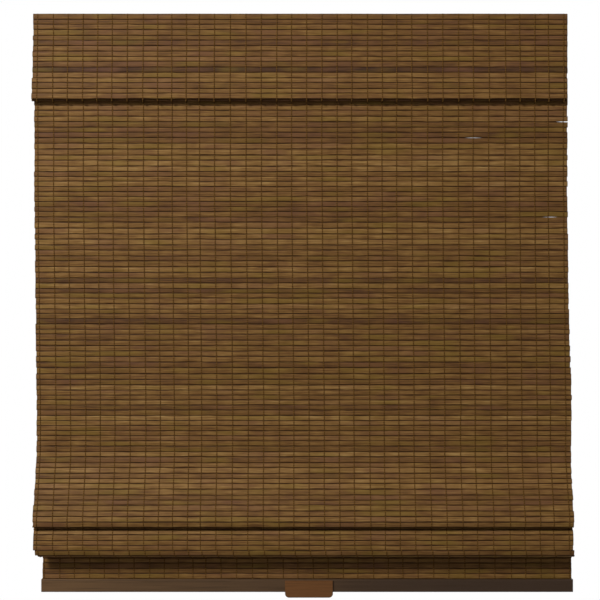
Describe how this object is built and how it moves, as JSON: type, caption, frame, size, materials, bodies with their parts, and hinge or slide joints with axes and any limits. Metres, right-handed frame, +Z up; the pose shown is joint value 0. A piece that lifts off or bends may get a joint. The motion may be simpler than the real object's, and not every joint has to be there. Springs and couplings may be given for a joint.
{
  "type": "bamboo roman shade",
  "caption": "Woven bamboo roman shade with a short valance, two soft folds above a plain bottom rail and a small lift tab, raised by a sprung shaft in its headrail.",
  "frame": {"origin": "centre of the four wall screw holes, in the wall plane", "axes": "+X across the shade, +Z up, +Y into the wall, so the room side faces -Y"},
  "size_m": [0.9245, 0.0825, 0.9998],
  "materials": {
    "bamboo": "satin",
    "rail": "satin",
    "tab": "satin",
    "channel": "satin",
    "cap": "matte",
    "bracket": "satin",
    "tape": "matte",
    "steel": "satin",
    "plastic": "matte",
    "ring": "matte",
    "cord": "matte"
  },
  "bodies": {
    "headrail": {"headrail_channel": "channel", "end_cap_left": "cap", "end_cap_right": "cap", "mount_bracket_left": "bracket", "mount_bracket_right": "bracket", "fixing_tape": "tape", "valance": "bamboo", "shade_mat": "bamboo", "motor_case": "plastic", "motor_lid": "plastic", "motor_spring": "steel", "cradle_left": "plastic", "cradle_middle": "plastic", "cradle_right": "plastic", "lift_cord_left": "cord", "lift_cord_middle": "cord", "lift_cord_right": "cord", "ring_row_0": "ring"},
    "lift_shaft": {"lift_shaft": "steel", "output_drum": "plastic", "cord_spool_left": "plastic", "cord_spool_middle": "plastic", "cord_spool_right": "plastic"},
    "storage_drum": {"storage_drum": "plastic"},
    "ring_row_1": {"ring_row_1": "ring"},
    "ring_row_2": {"ring_row_2": "ring"},
    "bottom_rail": {"bottom_rail": "rail", "lift_tab": "tab", "tab_screws": "steel", "ring_row_3": "ring", "ring_row_4": "ring", "ring_row_5": "ring"}
  },
  "joints": [
    {"name": "bottom_rail_lift", "type": "slide", "parent": "headrail", "child": "bottom_rail", "axis": [0, 0, 1], "range_m": [0, 0.448], "deforming": ["shade_mat", "lift_cord_left", "lift_cord_middle", "lift_cord_right"]},
    {"name": "ring_row_1_lift", "type": "slide", "parent": "headrail", "child": "ring_row_1", "axis": [0, 0, 1], "range_m": [0, 0.1495]},
    {"name": "ring_row_2_lift", "type": "slide", "parent": "headrail", "child": "ring_row_2", "axis": [0, 0, 1], "range_m": [0, 0.2988]},
    {"name": "lift_shaft_spin", "type": "hinge", "parent": "headrail", "child": "lift_shaft", "pos_m": [0, -0.0258, 0], "axis": [1, 0, 0], "range_deg": [-2400.4, 0]},
    {"name": "storage_drum_spin", "type": "hinge", "parent": "headrail", "child": "storage_drum", "pos_m": [-0.165, -0.0106, 0], "axis": [1, 0, 0], "range_deg": [-4130.9, 0]}
  ],
  "couplings": [
    {"joint": "ring_row_1_lift", "follows": "bottom_rail_lift", "ratio": 0.33333},
    {"joint": "ring_row_2_lift", "follows": "bottom_rail_lift", "ratio": 0.66667},
    {"joint": "lift_shaft_spin", "follows": "bottom_rail_lift", "rad_per_m": -93.458},
    {"joint": "storage_drum_spin", "follows": "bottom_rail_lift", "rad_per_m": -160.83}
  ]
}
